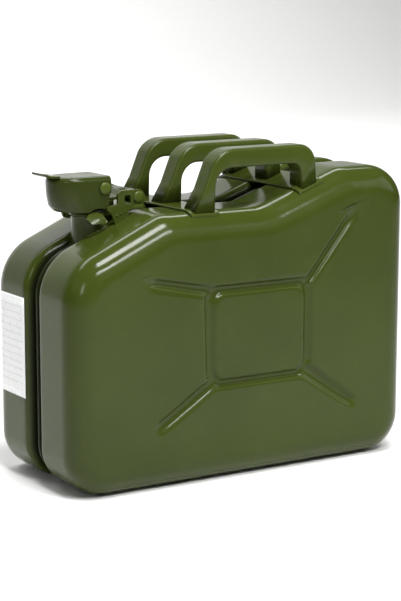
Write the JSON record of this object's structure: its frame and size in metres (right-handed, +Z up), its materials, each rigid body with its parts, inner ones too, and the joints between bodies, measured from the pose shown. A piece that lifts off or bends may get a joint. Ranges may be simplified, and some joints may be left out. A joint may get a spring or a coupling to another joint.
{
  "type": "fuel can",
  "caption": "Small pressed-steel fuel can with a recessed welded seam, crossed side channels, triple carry handle and hinged cam-lever cap.",
  "frame": {"origin": "centre of the can's footprint, on the surface that it stands on", "axes": "+X along the width from the filler end to the plain end, +Y through the thickness from the near pressed side to the far one, +Z up"},
  "size_m": [0.2703, 0.12, 0.225],
  "materials": {
    "green_enamel": "gloss olive-green stoved enamel on pressed sheet steel",
    "plain_steel": "bright zinc-plated steel",
    "black_rubber": "matte black fuel-proof seal",
    "label_paper": null
  },
  "bodies": {
    "tank": {"shell_near": "green_enamel", "shell_far": "green_enamel", "seam_lip_ring": "green_enamel", "filler_neck": "green_enamel", "neck_lug_near": "green_enamel", "neck_lug_far": "green_enamel", "breather_tube": "plain_steel", "hinge_bracket_near": "green_enamel", "hinge_bracket_far": "green_enamel", "cap_hinge_pin": "plain_steel", "handle_strap_front": "green_enamel", "handle_strap_rear": "green_enamel", "handle_near": "green_enamel", "handle_middle": "green_enamel", "handle_far": "green_enamel", "data_label": "label_paper"},
    "cap": {"cap_pan": "green_enamel", "cap_gasket": "black_rubber", "cap_hinge_arm": "green_enamel", "lever_bracket_near": "green_enamel", "lever_bracket_far": "green_enamel", "lever_pin": "plain_steel"},
    "lever": {"lever_cheek_near": "green_enamel", "lever_cheek_far": "green_enamel", "lever_nose": "green_enamel", "lever_bridge": "green_enamel"}
  },
  "joints": [
    {"name": "cap_hinge", "type": "hinge", "parent": "tank", "child": "cap", "pos_m": [-0.064, 0, 0.193], "axis": [0, 1, 0], "range_deg": [0, 90]},
    {"name": "cam_lever", "type": "hinge", "parent": "cap", "child": "lever", "pos_m": [-0.088, 0, 0.2], "axis": [0, 1, 0], "range_deg": [0, 60]}
  ]
}
